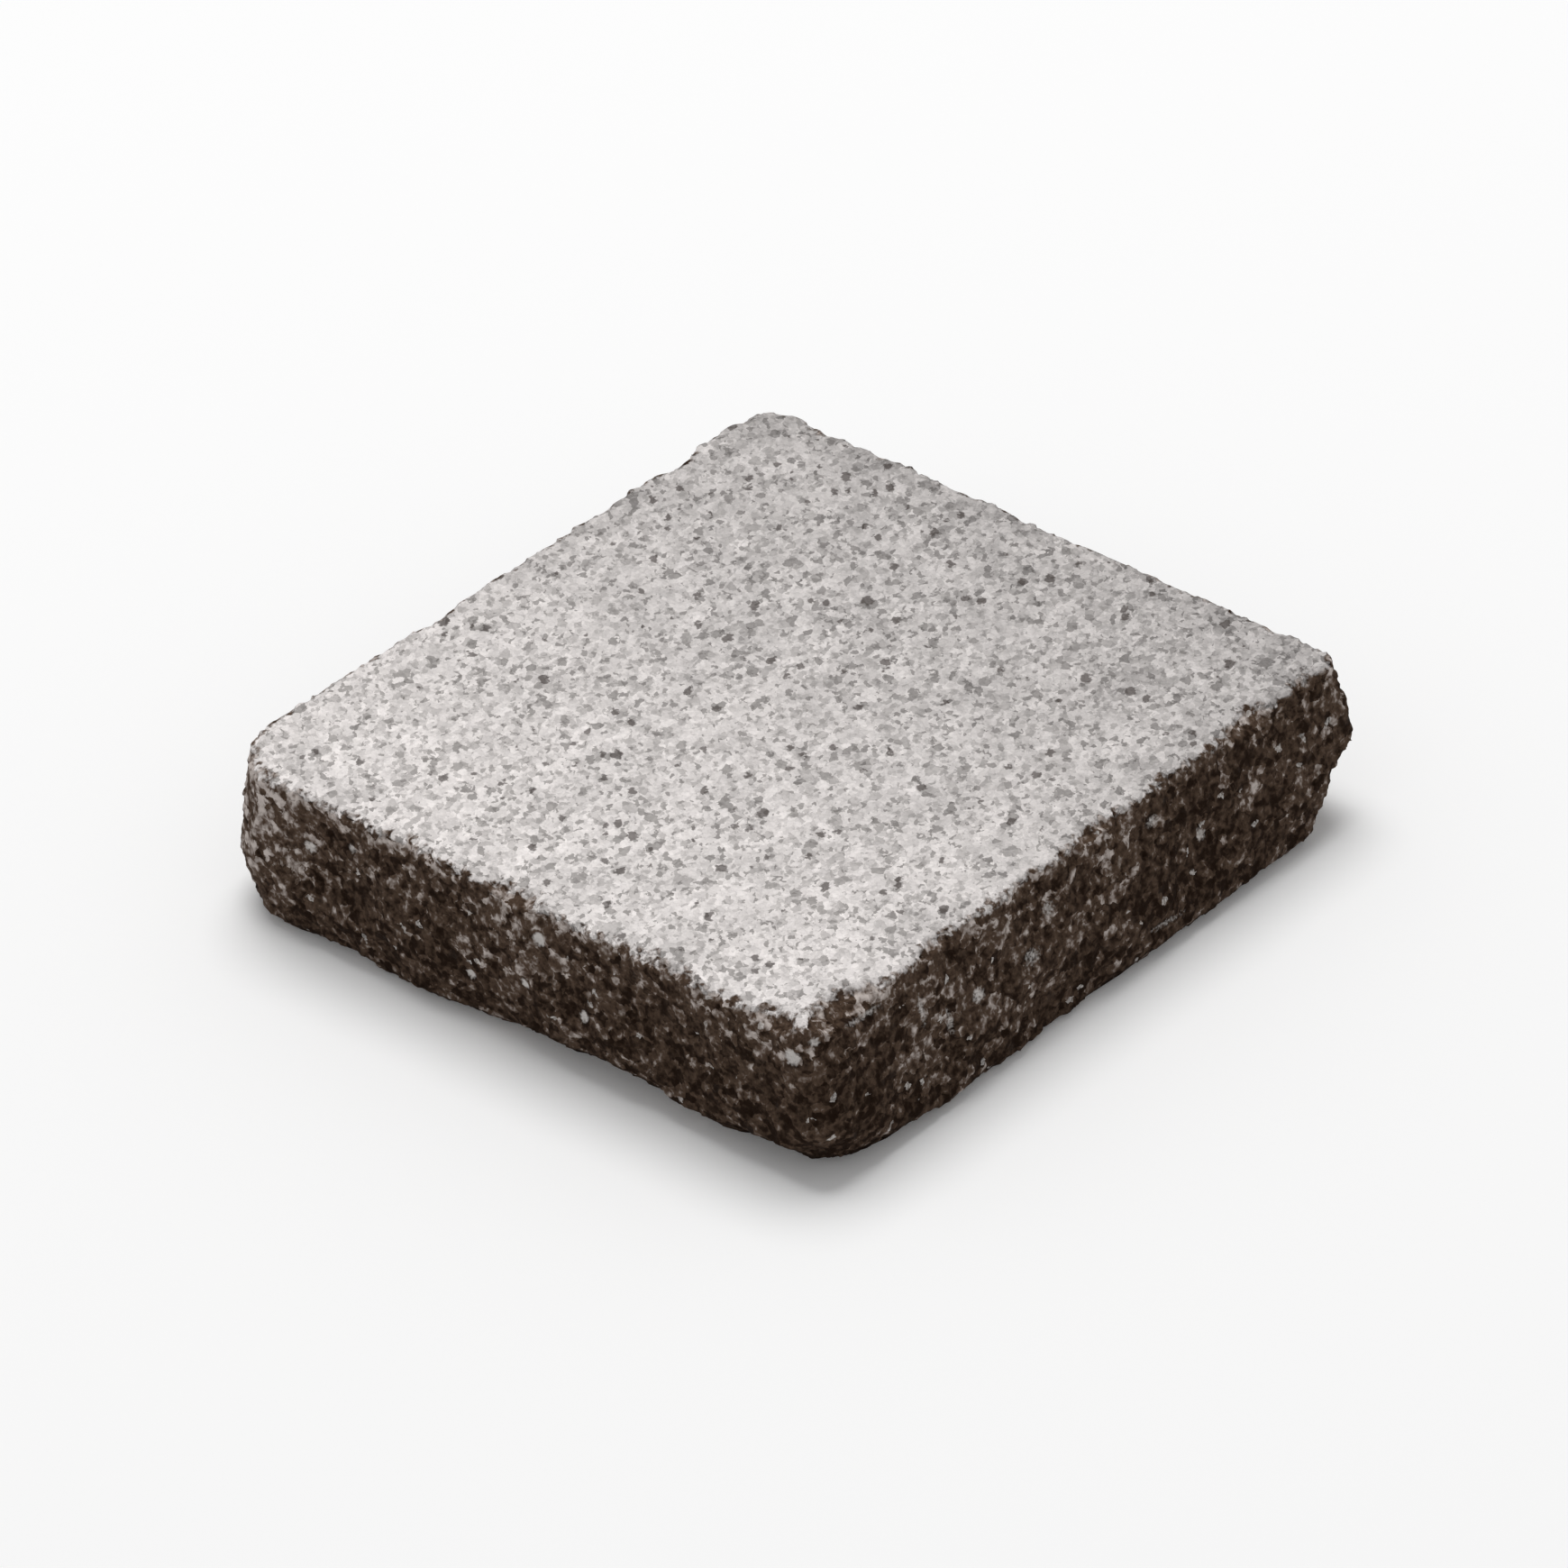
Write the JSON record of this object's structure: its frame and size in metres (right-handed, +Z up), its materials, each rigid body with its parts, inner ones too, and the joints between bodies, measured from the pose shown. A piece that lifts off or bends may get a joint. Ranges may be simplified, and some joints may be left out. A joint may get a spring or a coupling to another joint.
{
  "type": "granite sett",
  "caption": "Thin square paving sett of grey granite, dressed flat on its head, with rough split sides and chipped arrises, lying on its bed face.",
  "frame": {"origin": "middle of the bed face's level, under the middle of the stone's box", "axes": "+Z up through the thickness to the dressed head, +X to the right side, -Y to the front side"},
  "size_m": [0.1096, 0.108, 0.023],
  "materials": {
    "granite": "fine-grained grey granite, pale and dressed on the head, dark and rough where it is split"
  },
  "bodies": {
    "root": {"sett": "granite"}
  },
  "joints": []
}
